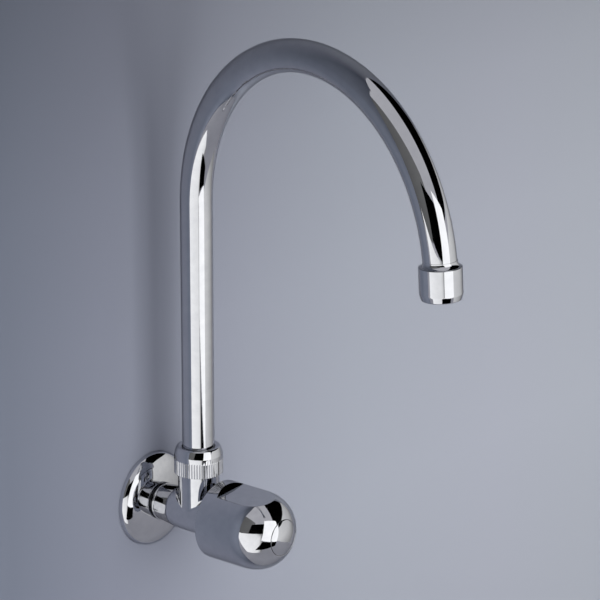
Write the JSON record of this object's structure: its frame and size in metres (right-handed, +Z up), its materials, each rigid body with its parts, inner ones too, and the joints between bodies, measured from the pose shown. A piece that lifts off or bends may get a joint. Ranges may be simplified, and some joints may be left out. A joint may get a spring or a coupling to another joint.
{
  "type": "wall-mounted kitchen tap",
  "caption": "Wall-mounted single tap with a domed flange, a horizontal barrel, a large front knob and a tall swivelling swan-neck spout with an aerator.",
  "frame": {"origin": "on the inlet thread's axis, in the plane of the wall that the flange lies on", "axes": "+Y into the wall along the inlet thread, +Z up, +X to the right as seen from the room"},
  "size_m": [0.0775, 0.2765, 0.3364],
  "materials": {
    "polished_chrome": "mirror-bright chrome plate on brass or zinc",
    "turned_brass": "plain turned brass, satin from the tool",
    "stainless": "stainless steel, fine satin",
    "black_rubber": "matte black rubber",
    "red_fibre": "matte red-brown sealing fibre",
    "white_nylon": "smooth natural nylon",
    "grey_plastic": "smooth light grey acetal"
  },
  "bodies": {
    "base": {"wall_flange": "polished_chrome", "flange_ring": "polished_chrome", "flange_gasket": "black_rubber", "valve_body": "polished_chrome", "headwork_body": "turned_brass", "headwork_gasket": "red_fibre", "spout_nut": "polished_chrome", "slip_washer_lower": "white_nylon", "slip_washer_upper": "white_nylon"},
    "handle": {"knob": "polished_chrome", "knob_adapter": "white_nylon", "knob_screw": "stainless", "index_cap": "polished_chrome", "headwork_spindle": "turned_brass", "spindle_o_ring_inner": "black_rubber", "spindle_o_ring_outer": "black_rubber", "spindle_clip": "stainless"},
    "jumper": {"valve_jumper": "turned_brass", "valve_washer": "black_rubber", "washer_screw": "stainless"},
    "spout": {"spout_foot": "turned_brass", "spout_o_ring_lower": "black_rubber", "spout_o_ring_upper": "black_rubber", "spout_tube": "polished_chrome", "outlet_collar": "polished_chrome", "aerator_housing": "polished_chrome", "aerator_washer": "black_rubber", "aerator_screen": "stainless", "aerator_insert": "grey_plastic"}
  },
  "joints": [
    {"name": "knob_turn", "type": "hinge", "parent": "base", "child": "handle", "pos_m": [0, -0.0555, 0], "axis": [0, -1, 0], "range_deg": [0, 720]},
    {"name": "jumper_lift", "type": "slide", "parent": "base", "child": "jumper", "axis": [0, -1, 0], "range_m": [0, 0.004]},
    {"name": "spout_swivel", "type": "hinge", "parent": "base", "child": "spout", "pos_m": [0, -0.038, 0.036], "axis": [0, 0, 1], "range_deg": [-80, 100]}
  ],
  "couplings": [
    {"joint": "jumper_lift", "follows": "knob_turn", "m_per_rad": 0.0003183}
  ]
}
